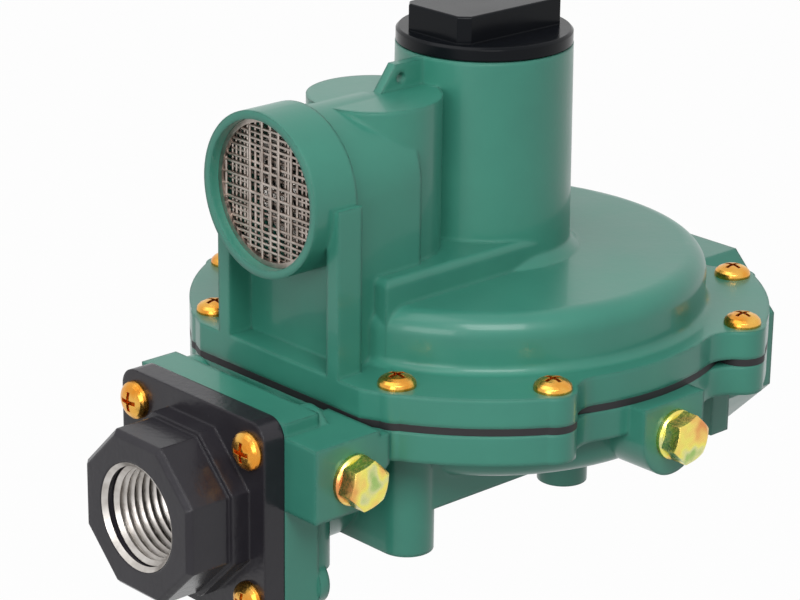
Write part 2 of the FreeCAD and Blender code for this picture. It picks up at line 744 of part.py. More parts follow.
def make_lower_casing():
    piece = Casting("lower_casing")
    add_flange(piece, lower_base, s.lower_flange)
    flange_blends(piece)
    piece.cylinder(True, s.bowl_radius, s.bowl_depth, (0, 0, bowl_bottom))
    piece.dress("Fillet", lambda e: is_ring(e, s.bowl_radius.value, bowl_bottom.value), s.drum_shoulder)
    piece.box(True, (-s.trough_reach, -s.trough_half, trough_bottom),
              (s.foot_station, s.trough_half, lower_base))
    pad_back = s.pad_front - s.pad_depth
    piece.box(True, (-s.pad_front, -s.pad_half, -s.pad_half), (-pad_back, s.pad_half, s.pad_top))
    piece.box(True, (-pad_back, -s.neck_half, 0), (-s.trough_reach, s.neck_half, s.neck_top))
    piece.cylinder(True, s.duct_radius, pad_back + s.outlet_reach - s.outlet_hex_length, (-pad_back, 0, 0), "+X")
    piece.cylinder(True, s.outlet_hub, s.outlet_reach - s.outlet_hex_length - s.trough_reach,
                   (s.trough_reach, 0, 0), "+X")
    piece.prism(True, 8, s.outlet_hex * OCTAGON, s.outlet_hex_length,
                (s.outlet_reach - s.outlet_hex_length, 0, 0), "+X", 22.5)
    # rounded walls that hang below: one behind the pad and one across the trough's end
    add_toe(piece, pad_back, s.front_toe_back, s.front_toe_half, 0)
    add_toe(piece, s.wall_front, s.wall_front - s.toe_radius * 2.0, s.wall_half, lower_base)
    # round feet at the trough's end and a thin wall across the outlet side
    for side in (-1.0, 1.0):
        piece.cylinder(True, s.foot_radius, s.foot_depth + lower_base,
                       (s.foot_station, (s.trough_half - s.foot_radius) * side, -s.foot_depth))
    piece.box(True, (s.rear_wall_front, -s.wall_half, -s.foot_depth), (s.rear_wall_back, s.wall_half, lower_base))
    # bosses for the two pressure taps
    low = s.tap_height - s.tap_boss_drop
    high = s.tap_height + s.tap_boss_rise
    back = flange_edge - s.tap_boss_overlap
    piece.box(True, (-s.pad_front, -s.tap_boss_reach, low), (-flange_edge, -s.neck_half, high))
    piece.box(True, (-flange_edge, -s.tap_boss_reach, low), (-back, -s.neck_half, s.seam_height))
    corner = (-back.value, low.value)
    piece.dress("Chamfer", lambda e: is_level(e, corner[1]) and abs(e.CenterOfMass.x - corner[0]) < 0.01,
                s.tap_boss_slope)
    piece.box(True, (-s.outlet_tap_radius, -tap_reach, s.tap_height),
              (s.outlet_tap_radius, -s.trough_half, s.seam_height))
    piece.cylinder(True, s.outlet_tap_radius, tap_reach - s.trough_half + 2.0,
                   (0, -(s.trough_half - 2.0), s.tap_height), "-Y", angle=180.0, turn=180.0)
    for side in (-1.0, 1.0):
        for level in (-1.0, 1.0):
            piece.cylinder(True, s.pad_boss, s.pad_boss_length,
                           (-pad_back, s.plate_bolt_y * side, s.plate_bolt_z * level), "+X")
    # nothing near the flange stands above the joint face
    piece.box(False, (-flange_edge, -s.lobe_radius, s.seam_height),
              (s.outlet_reach - s.outlet_hex_length, s.lobe_radius, s.pad_top + 1.0))
    # hollows
    piece.cylinder(False, case_cavity, s.bowl_depth + s.lower_flange - s.bowl_floor,
                   (0, 0, bowl_bottom + s.bowl_floor))
    piece.box(False, (-s.duct_front, -s.duct_inner, duct_floor), (s.duct_back, s.duct_inner, s.tap_height))
    piece.cylinder(False, s.spigot_radius + s.spigot_clearance, s.pad_front - s.duct_front,
                   (-s.duct_front, 0, 0), "-X")
    piece.cylinder(False, s.seal_radius + s.spigot_clearance, s.seal_section,
                   (-(s.pad_front - s.seal_section), 0, 0), "-X")
    piece.cylinder(False, s.outlet_bore, s.outlet_reach - s.duct_back, (s.duct_back, 0, 0), "+X")
    piece.cylinder(False, s.outlet_thread, s.outlet_thread_length,
                   (s.outlet_reach - s.outlet_thread_length, 0, 0), "+X")
    piece.cone(False, s.outlet_thread, s.outlet_thread + s.thread_lead, s.thread_lead,
               (s.outlet_reach - s.thread_lead, 0, 0), "+X")
    shaft = s.plug_shank + s.thread_clearance
    depth = s.plug_length + s.screw_tip_room
    piece.cylinder(False, shaft, depth, (-tap_x, -s.tap_boss_reach, s.tap_height), "+Y")
    piece.cylinder(False, s.tap_drill, s.tap_boss_reach - 5.0,
                   (-tap_x, -s.tap_boss_reach, s.tap_height), "+Y")
    piece.cylinder(False, shaft, depth, (0, -tap_reach, s.tap_height), "+Y")
    piece.cylinder(False, s.tap_drill, tap_reach - s.trough_half, (0, -tap_reach, s.tap_height), "+Y")
    cut_flange_holes(piece, thread_hole, flange_top - s.screw_length - s.screw_tip_room, s.screw_length)
    hole = s.plate_screw_length - s.plate_thickness + s.screw_tip_room
    for side in (-1.0, 1.0):
        for level in (-1.0, 1.0):
            piece.cylinder(False, thread_hole, hole,
                           (-s.pad_front, s.plate_bolt_y * side, s.plate_bolt_z * level), "+X")
    for x in bracket_screw_stations():
        piece.cylinder(False, s.bracket_screw_shank + s.thread_clearance,
                       s.bracket_screw_length - s.bracket_base + 0.3, (x, 0, duct_floor), "-Z")
    piece.finish()


def bracket_screw_stations():
    return (s.bracket_front + s.bracket_screw_inset, s.bracket_back - s.bracket_screw_inset)


def make_inlet_body():
    piece = Piece("inlet_body")
    half = s.plate_half
    piece.box(True, (-plate_front, -half, -half), (-s.pad_front, half, half))

    def corner(edge):
        if not isinstance(edge.Curve, Part.Line):
            return False
        return abs(edge.tangentAt(edge.FirstParameter).x) > 0.999

    piece.dress("Fillet", corner, s.pad_corner)
    piece.prism(True, 8, s.inlet_step * OCTAGON, s.inlet_step_length, (-plate_front, 0, 0), "-X", 22.5)
    piece.prism(True, 8, s.inlet_octagon * OCTAGON, s.inlet_octagon_length, (-plate_front, 0, 0), "-X", 22.5)
    face = -inlet_face.value
    piece.dress("Chamfer", lambda e: abs(e.BoundBox.XMax - face) < 0.01, s.inlet_bevel)
    piece.cylinder(True, s.spigot_radius, s.spigot_length, (-s.pad_front, 0, 0), "+X")
    piece.cylinder(True, s.nozzle_tube, s.pad_front - s.nozzle_tube_end, (-s.pad_front, 0, 0), "+X")
    piece.cylinder(False, s.inlet_passage, inlet_face - s.nozzle_tube_end, (-inlet_face, 0, 0), "+X")
    piece.cylinder(False, s.inlet_thread, s.inlet_thread_length, (-inlet_face, 0, 0), "+X")
    piece.cone(False, s.inlet_thread + s.thread_lead, s.inlet_thread, s.thread_lead, (-inlet_face, 0, 0), "+X")
    piece.cylinder(False, s.orifice_shank + s.thread_clearance, s.orifice_shank_length,
                   (-s.nozzle_tube_end, 0, 0), "-X")
    for side in (-1.0, 1.0):
        for level in (-1.0, 1.0):
            piece.cylinder(False, s.screw_hole, s.plate_thickness + s.inlet_step_length,
                           (-s.pad_front, s.plate_bolt_y * side, s.plate_bolt_z * level), "-X")


def make_inlet_seal():
    piece = Piece("inlet_seal", (-s.pad_front, 0, 0), "+X")
    inner = s.seal_radius - s.seal_section
    piece.revolve(True, ((inner + 0.1, 0), (s.seal_radius, 0), (s.seal_radius, s.seal_section),
                         (inner + 0.1, s.seal_section)))


def polar_share(across, rise, base, degrees):
    """A point of a quarter ellipse that stands on a level."""
    turn = math.radians(degrees)
    return size(across) * round(math.cos(turn), 4), size(base) + size(rise) * round(math.sin(turn), 4)


def make_screw(name, at, axis, head, length):
    """A pan-head screw with a cross recess, its shank running against its own Z."""
    piece = Piece(name, at, axis)
    top = s.screw_head_height
    dome = [polar_share(head, top - s.screw_head_rim, s.screw_head_rim, turn) for turn in (0, 18, 36, 54, 72)]
    piece.revolve(True, [(0, -length), (s.screw_shank * 0.7, -length), (s.screw_shank, -length + 1.0),
                         (s.screw_shank, 0), (head, 0)] + dome + [(0, top)])
    for turn in (0.0, 90.0):
        slot = piece.box(False, (-(head * 0.52), -(head * 0.11), top * 0.35), (head * 0.52, head * 0.11, top + 1.0))
        if turn:
            put(slot, (head * 0.11, -(head * 0.52), top * 0.35), "+Z", 90.0)


def make_screws():
    for number, angle in enumerate(bolt_angles(), start=1):
        x, y = polar(s.bolt_circle, angle)
        make_screw("case_screw_%d" % number, (x, y, flange_top), "+Z", s.screw_head, s.screw_length)
    number = 0
    for side in (-1.0, 1.0):
        for level in (-1.0, 1.0):
            number += 1
            at = (-plate_front, s.plate_bolt_y * side, s.plate_bolt_z * level)
            make_screw("inlet_screw_%d" % number, at, "-X", s.plate_screw_head, s.plate_screw_length)


def make_plug(name, at):
    """A tap plug: plain shank, round collar and hexagon head."""
    piece = Piece(name, at, "-Y")
    piece.revolve(True, ((0, -s.plug_length), (s.plug_shank - 0.6, -s.plug_length),
                         (s.plug_shank, -s.plug_length + 0.8), (s.plug_shank, 0), (s.plug_collar, 0),
                         (s.plug_collar, s.plug_collar_height * 0.6),
                         (s.plug_collar - 0.4, s.plug_collar_height), (0, s.plug_collar_height)))
    top = s.plug_collar_height + s.plug_hex_height
    piece.prism(True, 6, s.plug_hex, s.plug_hex_height, (0, 0, s.plug_collar_height), "+Z", 15.0)
    # the crown: a groove that runs down to the hexagon's corners
    crown = s.plug_crown
    reach = s.plug_hex + crown * 2.0
    piece.revolve(False, ((s.plug_hex - crown * 2.0, top), (reach, top - crown * 2.0), (reach, top + crown),
                          (s.plug_hex - crown * 2.0, top + crown)))


def make_closing_cap():
    base = tower_top + s.cap_gap
    piece = Piece("closing_cap", (0, 0, base))
    disc = s.cap_disc_height
    bevel = 0.5
    piece.revolve(True, ((0, -s.cap_thread_length + 1.0), (s.cap_thread - 1.0, -s.cap_thread_length + 1.0),
                         (s.cap_thread, -s.cap_thread_length + 2.0), (s.cap_thread, 0), (s.cap_disc, 0),
                         (s.cap_disc, disc - bevel), (s.cap_disc - bevel, disc), (0, disc)))
    piece.box(True, (-s.cap_head_x, -s.cap_head_y, disc), (s.cap_head_x, s.cap_head_y, disc + s.cap_head_height))
    low = disc.value

    def upright_corner(edge):
        return is_upright(edge) and edge.CenterOfMass.z > low

    piece.dress("Chamfer", upright_corner, s.cap_head_corner)
    high = (disc + s.cap_head_height).value
    piece.dress("Fillet", lambda e: is_level(e, high), size(0.5))
    piece.cylinder(False, s.cap_hollow, s.cap_thread_length, (0, 0, -s.cap_thread_length))
    depth = s.cap_seal_height + s.cap_seal_clearance
    piece.cylinder(False, s.cap_seal_outer + s.cap_seal_clearance, depth - s.cap_gap / 2.0, (0, 0, 0))
    piece.cylinder(True, s.cap_thread, depth, (0, 0, 0))
    piece.cylinder(False, s.cap_hollow, depth, (0, 0, 0))


def make_cap_seal():
    piece = Piece("cap_seal", (0, 0, tower_top + s.cap_gap / 2.0))
    piece.revolve(True, ((s.cap_seal_inner, 0), (s.cap_seal_outer, 0), (s.cap_seal_outer, s.cap_seal_height - 0.1),
                         (s.cap_seal_inner, s.cap_seal_height - 0.1)))


def make_adjuster():
    radius = s.tower_bore - s.adjuster_clearance
    piece = Piece("adjusting_screw", (0, 0, s.adjuster_height))
    piece.revolve(True, ((0, 0), (radius - 0.8, 0), (radius, 0.8), (radius, s.adjuster_length - 0.8),
                         (radius - 0.8, s.adjuster_length), (0, s.adjuster_length)))
    piece.prism(False, 6, s.adjuster_socket, s.adjuster_socket_depth,
                (0, 0, s.adjuster_length - s.adjuster_socket_depth))
    under = s.adjuster_height - s.seat_gap
    seat = Piece("spring_seat", (0, 0, under))
    low = s.seat_thickness + s.seat_pilot_height
    seat.revolve(True, ((0, 0), (s.seat_radius, 0), (s.seat_radius, -s.seat_thickness),
                        (s.seat_pilot, -s.seat_thickness), (s.seat_pilot - 0.8, -low), (0, -low)))


def coil(name, mean, wire, turns, bottom, top, at):
    """A round-wire compression spring between two levels."""
    helix = doc.addObject("Part::Helix", "%s_path" % name)
    height = size(top) - size(bottom) - wire * 2.0
    bind(helix, "Radius", mean)
    bind(helix, "Height", height)
    bind(helix, "Pitch", height / turns)
    helix.SegmentLength = 1.0
    put(helix, (at[0], at[1], bottom + wire))
    ring = doc.addObject("Part::Circle", "%s_wire" % name)
    bind(ring, "Radius", wire)
    slope = math.degrees(math.atan2(height.value / turns.value, 2.0 * math.pi * mean.value))
    ring.Placement = FreeCAD.Placement(FreeCAD.Vector(), FreeCAD.Rotation(FreeCAD.Vector(1, 0, 0), 90.0 + slope))
    for letter, spot in zip("xyz", (size(at[0]) + mean, size(at[1]), bottom + wire)):
        bind(ring, "Placement.Base.%s" % letter, spot)
    doc.recompute()
    sweep = doc.addObject("Part::Sweep", name)
    sweep.Sections = [ring]
    sweep.Spine = (helix, ["Edge%d" % n for n in range(1, len(helix.Shape.Edges) + 1)])
    sweep.Solid = True
    sweep.Frenet = True
    sweep.Label = name
    PIECES.append(sweep)


rubber_top = upper_base - s.rubber_drop
rubber_bottom = rubber_top - s.diaphragm_edge
plate_bottom = rubber_top + s.plate_lift
plate_top = plate_bottom + s.plate_gauge
post_top = rubber_bottom - s.plate_lift
retainer_bottom = post_top + s.stem_length - s.retainer_height


def make_diaphragm():
    edge = Piece("diaphragm_edge")
    add_flange(edge, s.seam_height, s.diaphragm_edge)
    edge.cylinder(False, case_cavity - s.rubber_gap, s.diaphragm_edge, (0, 0, s.seam_height))
    cut_flange_holes(edge, s.screw_hole, s.seam_height, s.diaphragm_edge)
    outer = case_cavity - s.rubber_gap * 2.0
    low = s.rubber_drop
    gauge = s.diaphragm_edge
    roll = Piece("diaphragm_roll", (0, 0, s.seam_height))
    shoulder = s.rubber_shoulder
    flat = s.plate_radius + 2.0
    roll.revolve(True, ((s.rubber_hole, -low), (flat, -low), (shoulder, 0), (outer, 0), (outer, gauge),
                        (shoulder - 0.6, gauge), (flat - 0.6, gauge - low), (s.rubber_hole, gauge - low)))


def make_diaphragm_plate():
    piece = Piece("diaphragm_plate", (0, 0, plate_bottom))
    gauge = s.plate_gauge
    edge = s.plate_radius
    piece.revolve(True, ((s.stem_radius + s.post_fit, 0), (edge, 0), (edge, s.plate_rim),
                         (edge - gauge, s.plate_rim), (edge - gauge, gauge),
                         (s.stem_radius + s.post_fit, gauge)))


def make_post():
    piece = Piece("pusher_post", (0, 0, 0))
    flange = post_top - s.post_flange_height
    piece.revolve(True, ((0, s.post_bottom), (s.post_radius, s.post_bottom), (s.post_radius, flange),
                         (s.post_flange, flange), (s.post_flange, post_top), (s.stem_radius, post_top),
                         (s.stem_radius, post_top + s.stem_length + 1.5), (0, post_top + s.stem_length + 1.5)))
    half = s.post_slot / 2.0
    wide = s.post_slot_width / 2.0
    piece.box(False, (-(s.post_radius + 1.0), -wide, s.tip_height - half),
              (s.post_radius + 1.0, wide, s.tip_height + half))
    ring = Piece("relief_retainer", (0, 0, retainer_bottom))
    bore = s.stem_radius + 0.02
    ring.revolve(True, ((bore, 0), (s.retainer_radius, 0), (s.retainer_radius, 0.8),
                        (s.retainer_radius - 2.4, s.retainer_height), (bore, s.retainer_height)))


def lever_points():
    """The outline of the bell crank in X and Z, about its pivot."""
    reach = s.pivot_offset
    drop = s.pivot_rise
    half = s.lever_half
    return ((-reach, -drop - half), (0, -half), (half, -half), (half, half), (0, half), (-reach, half - drop))


def make_lever():
    pivot_height = s.tip_height + s.pivot_rise
    piece = Piece("lever", (s.pivot_offset, 0, pivot_height))
    piece.pad(lever_points(), s.lever_thickness)
    half_thick = s.lever_thickness / 2.0
    piece.cylinder(True, s.lever_tip, s.lever_thickness, (-s.pivot_offset, half_thick, -s.pivot_rise), "-Y")
    shift = s.valve_lift / 2.0
    half = s.lever_half
    piece.pad(((-half, 0), (shift - half, -pivot_height), (shift + half, -pivot_height), (half, 0)),
              s.lever_thickness)
    piece.cylinder(True, s.lever_tip, s.lever_thickness, (shift, half_thick, -pivot_height), "-Y")
    hub_half = s.bracket_cheek_inner - 0.3
    piece.cylinder(True, s.lever_hub, hub_half * 2.0, (0, hub_half, 0), "-Y")
    piece.cylinder(False, s.pin_radius + s.pin_clearance, hub_half * 2.0 + 2.0, (0, hub_half + 1.0, 0), "-Y")
    cheek = s.bracket_cheek_inner + s.bracket_cheek
    pin = Piece("lever_pin", (s.pivot_offset, 0, pivot_height), "-Y")
    reach = cheek + 0.6
    pin.revolve(True, ((0, -reach), (s.pin_radius - 0.3, -reach), (s.pin_radius, -reach + 0.3),
                       (s.pin_radius, reach), (s.pin_radius + 0.8, reach), (s.pin_radius + 0.8, reach + 0.8),
                       (0, reach + 0.8)))


def make_bracket():
    piece = Piece("lever_bracket")
    floor = duct_floor
    top = floor + s.bracket_base
    half = s.bracket_half
    cheek = s.bracket_cheek_inner + s.bracket_cheek
    pivot_height = s.tip_height + s.pivot_rise
    guide_top = s.rod_radius + 1.4
    piece.box(True, (s.bracket_front, -half, floor), (s.bracket_back, half, top))
    piece.box(True, (s.bracket_front, -cheek, floor), (s.bracket_front + s.bracket_wall, cheek, guide_top))
    piece.box(True, (s.bracket_back - s.bracket_wall, -cheek, floor), (s.bracket_back, cheek, guide_top))
    low = s.pivot_offset - s.bracket_cheek_length / 2.0
    high = s.pivot_offset + s.bracket_cheek_length / 2.0
    for side in (-1.0, 1.0):
        inner = s.bracket_cheek_inner * side
        outer = cheek * side
        first, last = (outer, inner) if side < 0 else (inner, outer)
        piece.box(True, (low, first, floor), (high, last, pivot_height + s.bracket_cheek_rise))
    piece.cylinder(False, s.rod_radius + s.pin_clearance, s.bracket_back - s.bracket_front,
                   (s.bracket_front, 0, 0), "+X")
    piece.cylinder(False, s.pin_radius + 0.01, cheek * 2.0, (s.pivot_offset, cheek, pivot_height), "-Y")
    for x in bracket_screw_stations():
        piece.cylinder(False, s.bracket_screw_shank + 0.2, s.bracket_base, (x, 0, floor))
    for number, x in enumerate(bracket_screw_stations(), start=1):
        screw = Piece("bracket_screw_%d" % number, (x, 0, top))
        rise = s.bracket_screw_head_height
        screw.revolve(True, ((0, -s.bracket_screw_length), (s.bracket_screw_shank, -s.bracket_screw_length),
                             (s.bracket_screw_shank, 0), (s.bracket_screw_head, 0),
                             (s.bracket_screw_head, rise * 0.6), (s.bracket_screw_head * 0.7, rise), (0, rise)))


def make_valve():
    lip = -s.seat_lip
    nose = s.orifice_nose_length
    hexagon = s.orifice_hex_length
    orifice = Piece("orifice", (lip, 0, 0), "-X")
    orifice.revolve(True, ((s.orifice_bore, 0), (s.orifice_lip, 0), (s.orifice_nose, nose),
                           (s.orifice_nose, nose + hexagon), (s.orifice_shank, nose + hexagon),
                           (s.orifice_shank, nose + hexagon + s.orifice_shank_length - 0.5),
                           (s.orifice_bore, nose + hexagon + s.orifice_shank_length - 0.5)))
    orifice.prism(True, 6, s.orifice_hex, hexagon, (0, 0, nose))
    orifice.cylinder(False, s.orifice_bore, nose + hexagon, (0, 0, 0))
    face = s.valve_lift + s.valve_shut_gap
    cup = face + s.disc_proud
    holder = Piece("disc_holder", (lip, 0, 0), "+X")
    rod_end = s.rod_end + s.seat_lip
    holder.revolve(True, ((0, cup), (s.cup_radius, cup), (s.cup_radius, cup + s.cup_depth - 1.0),
                          (s.rod_radius + 1.0, cup + s.cup_depth), (s.rod_radius, cup + s.cup_depth + 1.0),
                          (s.rod_radius, rod_end), (0, rod_end)))
    pocket = s.disc_thickness - s.disc_proud
    holder.cylinder(False, s.disc_radius + 0.05, pocket, (0, 0, cup))
    middle = s.pivot_offset + s.valve_lift / 2.0 + s.seat_lip
    half = s.post_slot / 2.0
    wide = s.post_slot_width / 2.0
    holder.box(False, (-(s.rod_radius + 1.0), -wide, middle - half), (s.lever_tip + 0.5, wide, middle + half))
    disc = Piece("valve_disc", (lip + face, 0, 0), "+X")
    disc.revolve(True, ((0, 0), (s.disc_radius - 0.3, 0), (s.disc_radius, 0.3),
                        (s.disc_radius, s.disc_thickness), (0, s.disc_thickness)))


def make_vent_valve():
    x = -s.chimney_offset
    seat = port_top + s.flapper_gap
    roof = chimney_top - s.chimney_roof
    bore = s.guide_radius + s.guide_clearance
    flapper = Piece("vent_flapper", (x, 0, seat))
    top = s.flapper_thickness
    flapper.revolve(True, ((0, 0), (s.flapper_radius, 0), (s.flapper_radius, top), (s.flapper_stem, top),
                           (s.flapper_stem, top + s.flapper_stem_length), (bore, top + s.flapper_stem_length),
                           (bore, top), (0, top)))
    guide = Piece("flapper_guide", (x, 0, roof))
    drop = roof - s.guide_bottom
    guide.revolve(True, ((0, -drop), (s.guide_radius - 0.4, -drop), (s.guide_radius, -drop + 0.8),
                         (s.guide_radius, -s.guide_head_height), (s.guide_head, -s.guide_head_height),
                         (s.guide_head, 0), (0, 0)))
    coil("vent_spring", s.vent_spring_mean, s.vent_spring_wire, s.vent_spring_turns,
         seat + top + s.spring_gap, roof - s.guide_head_height - s.spring_gap, (x, 0))


def make_vent_screen():
    front = -(vent_reach - s.screen_setback)
    outer = s.vent_opening - s.screen_fit
    ring = Piece("screen_ring", (front, 0, s.vent_height), "+X")
    inner = outer - s.screen_ring_width
    ring.revolve(True, ((inner, 0), (outer, 0), (outer, s.screen_ring_length), (inner, s.screen_ring_length)))
    mesh = Piece("vent_screen", (front + s.screen_ring_length, 0, s.vent_height), "+X")
    gauge = s.screen_gauge
    dish = s.screen_dish
    front_points = [(outer, 0), (inner, 0)]
    back_points = [(outer, gauge), (inner, gauge)]
    for share in (0.8, 0.6, 0.4, 0.2):
        depth = dish * (1.0 - share * share)
        front_points.append((inner * share, depth))
        back_points.append((inner * share, depth + gauge))
    front_points.append((0, dish))
    back_points.append((0, dish + gauge))
    mesh.revolve(True, tuple(front_points) + tuple(reversed(back_points)))


def check_and_write():
    doc.recompute()
    for item in doc.Objects:
        if "Invalid" in item.State or "Error" in item.State:
            raise RuntimeError("%s did not recompute" % item.Name)
    os.makedirs("parts", exist_ok=True)
    for piece in PIECES:
        shape = piece.Shape
        if shape.isNull() or not shape.isValid() or len(shape.Solids) != 1:
            raise RuntimeError("%s has %d solids" % (piece.Label, len(shape.Solids)))
    for piece in PIECES:
        piece.Shape.exportStep("parts/%s.step" % piece.Label)


make_spring_case()
make_lower_casing()
make_inlet_body()
make_inlet_seal()
make_screws()
make_plug("inlet_tap_plug", (-tap_x, -s.tap_boss_reach, s.tap_height))
make_plug("outlet_tap_plug", (0, -tap_reach, s.tap_height))
make_closing_cap()
make_cap_seal()
make_adjuster()
coil("main_spring", s.spring_mean, s.spring_wire, s.spring_turns, plate_top + s.spring_gap,
     s.adjuster_height - s.seat_gap - s.seat_thickness - s.spring_gap, (0, 0))
make_diaphragm()
make_diaphragm_plate()
make_post()
coil("relief_spring", s.relief_mean, s.relief_wire, s.relief_turns, plate_top + s.spring_gap,
     retainer_bottom - s.spring_gap, (0, 0))
make_lever()
make_bracket()
make_valve()
make_vent_valve()
make_vent_screen()
check_and_write()
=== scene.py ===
# %% [markdown]
# This script dresses a spring-loaded gas pressure regulator. The castings, screws and inner works
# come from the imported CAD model, and Blender adds the finishes and the parts that are too fine for
# solids: the wires of the vent screen and the pipe threads.

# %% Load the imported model
import json
import math

import bpy
from mathutils import Matrix, Vector


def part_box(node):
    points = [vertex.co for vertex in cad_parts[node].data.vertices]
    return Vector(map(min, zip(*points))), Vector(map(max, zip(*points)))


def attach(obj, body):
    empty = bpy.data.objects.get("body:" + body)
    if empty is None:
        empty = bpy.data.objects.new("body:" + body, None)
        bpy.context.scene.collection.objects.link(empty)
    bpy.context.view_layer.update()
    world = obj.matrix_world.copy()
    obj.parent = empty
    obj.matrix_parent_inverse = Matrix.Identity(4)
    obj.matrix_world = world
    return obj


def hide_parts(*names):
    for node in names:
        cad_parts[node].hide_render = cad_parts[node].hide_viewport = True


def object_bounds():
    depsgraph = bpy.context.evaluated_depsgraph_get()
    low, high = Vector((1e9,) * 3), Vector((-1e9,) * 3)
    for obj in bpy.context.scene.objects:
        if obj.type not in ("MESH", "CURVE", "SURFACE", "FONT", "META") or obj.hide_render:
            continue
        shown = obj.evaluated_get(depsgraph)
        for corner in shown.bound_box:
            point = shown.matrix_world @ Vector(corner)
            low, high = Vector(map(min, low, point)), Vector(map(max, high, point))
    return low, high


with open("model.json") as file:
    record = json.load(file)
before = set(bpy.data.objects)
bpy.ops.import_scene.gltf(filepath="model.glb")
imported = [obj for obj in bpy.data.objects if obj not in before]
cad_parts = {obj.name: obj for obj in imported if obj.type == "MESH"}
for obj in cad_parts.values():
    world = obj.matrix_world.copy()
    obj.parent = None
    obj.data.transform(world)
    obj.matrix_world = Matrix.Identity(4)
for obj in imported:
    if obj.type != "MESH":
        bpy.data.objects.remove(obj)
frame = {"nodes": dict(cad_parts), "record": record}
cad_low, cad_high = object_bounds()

bpy.ops.object.select_all(action="DESELECT")
print("CAD box", [round(v * 1000, 1) for v in (*cad_low, *cad_high)])

# %% [markdown]
# The studio is a pale room with no visible walls. A product picture like this has a white floor
# that fades into a white background. The room also gives a weak even light, and it is weaker than it
# looks to the viewer, so that the paint keeps its depth in front of a pure white backdrop.

# %% Which rays see the backdrop as plain white
def seen_mask(tree):
    """1 for rays that show the backdrop itself, and 0 for rays that light the object."""
    ray = tree.nodes.new("ShaderNodeLightPath")
    mask = ray.outputs["Is Camera Ray"]
    for kind in ("Is Glossy Ray", "Is Transmission Ray"):
        either = tree.nodes.new("ShaderNodeMath")
        either.operation = "MAXIMUM"
        tree.links.new(mask, either.inputs[0])
        tree.links.new(ray.outputs[kind], either.inputs[1])
        mask = either.outputs[0]
    return mask


# %% The view settings and the room
scene = bpy.context.scene
scene.view_settings.view_transform = "Standard"
room = bpy.data.worlds.new("studio_room")
scene.world = room
room.use_nodes = True
room_nodes = room.node_tree.nodes
room_links = room.node_tree.links
room_nodes.clear()
lit_walls = room_nodes.new("ShaderNodeBackground")
lit_walls.inputs["Color"].default_value = (1.0, 1.0, 1.0, 1.0)
lit_walls.inputs["Strength"].default_value = 0.22
seen_walls = room_nodes.new("ShaderNodeBackground")
seen_walls.inputs["Color"].default_value = (1.0, 1.0, 1.0, 1.0)
seen_walls.inputs["Strength"].default_value = 1.0
choose = room_nodes.new("ShaderNodeMixShader")
room_out = room_nodes.new("ShaderNodeOutputWorld")
room_links.new(seen_mask(room.node_tree), choose.inputs[0])
room_links.new(lit_walls.outputs[0], choose.inputs[1])
room_links.new(seen_walls.outputs[0], choose.inputs[2])
room_links.new(choose.outputs[0], room_out.inputs["Surface"])


# %% [markdown]
# Three soft boxes light the castings. A box high in front models the sides, a weaker one above turns
# the flat tops pale, and one at the inlet's side reaches the black fitting and its thread. Square area
# lamps give broad soft highlights, which a point lamp could not.

# %% Lamps
def soft_box(name, place, aim, across, watts):
    """A square area lamp at place, in metres, turned towards aim."""
    lamp = bpy.data.lights.new(name, "AREA")
    lamp.shape = "SQUARE"
    lamp.size = across
    lamp.energy = watts
    stand = bpy.data.objects.new(name, lamp)
    scene.collection.objects.link(stand)
    stand.location = place
    stand.rotation_euler = (Vector(aim) - Vector(place)).to_track_quat("-Z", "Y").to_euler()


middle = (cad_low + cad_high) / 2
soft_box("key_box", middle + Vector((-0.35, 0.15, 0.75)), middle, 0.6, 1.8)
soft_box("front_box", middle + Vector((-0.45, -0.65, 0.75)), middle, 0.5, 6.0)
soft_box("inlet_box", middle + Vector((-0.85, -0.35, 0.2)), middle, 0.4, 2.2)

# %% [markdown]
# The regulator hangs on its pipe, so the floor is well below it and catches only a faint shadow.

# %% Floor
FLOOR_DROP = 0.09
WHITE_SHARE = 0.98
bpy.ops.mesh.primitive_plane_add(size=12.0, location=(0, 0, cad_low.z - FLOOR_DROP))
floor = bpy.context.object
floor.name = "studio_floor"
pale = bpy.data.materials.new("pale_floor")
pale.use_nodes = True
pale_nodes = pale.node_tree.nodes
pale_links = pale.node_tree.links
pale_nodes.clear()
paint = pale_nodes.new("ShaderNodeBsdfDiffuse")
paint.inputs["Color"].default_value = (0.3, 0.3, 0.3, 1.0)
glow = pale_nodes.new("ShaderNodeEmission")
glow.inputs["Strength"].default_value = 1.0
scaled = pale_nodes.new("ShaderNodeMath")
scaled.operation = "MULTIPLY"
scaled.inputs[1].default_value = WHITE_SHARE
pale_mix = pale_nodes.new("ShaderNodeMixShader")
pale_out = pale_nodes.new("ShaderNodeOutputMaterial")
pale_links.new(seen_mask(pale.node_tree), scaled.inputs[0])
pale_links.new(scaled.outputs[0], pale_mix.inputs[0])
pale_links.new(paint.outputs[0], pale_mix.inputs[1])
pale_links.new(glow.outputs[0], pale_mix.inputs[2])
pale_links.new(pale_mix.outputs[0], pale_out.inputs["Surface"])
floor.data.materials.append(pale)

# %% [markdown]
# The camera stands in front of the inlet, to its right and a little above, with a long lens. Its place
# is worked out from two angles and a distance, so that the view can be turned without new coordinates.

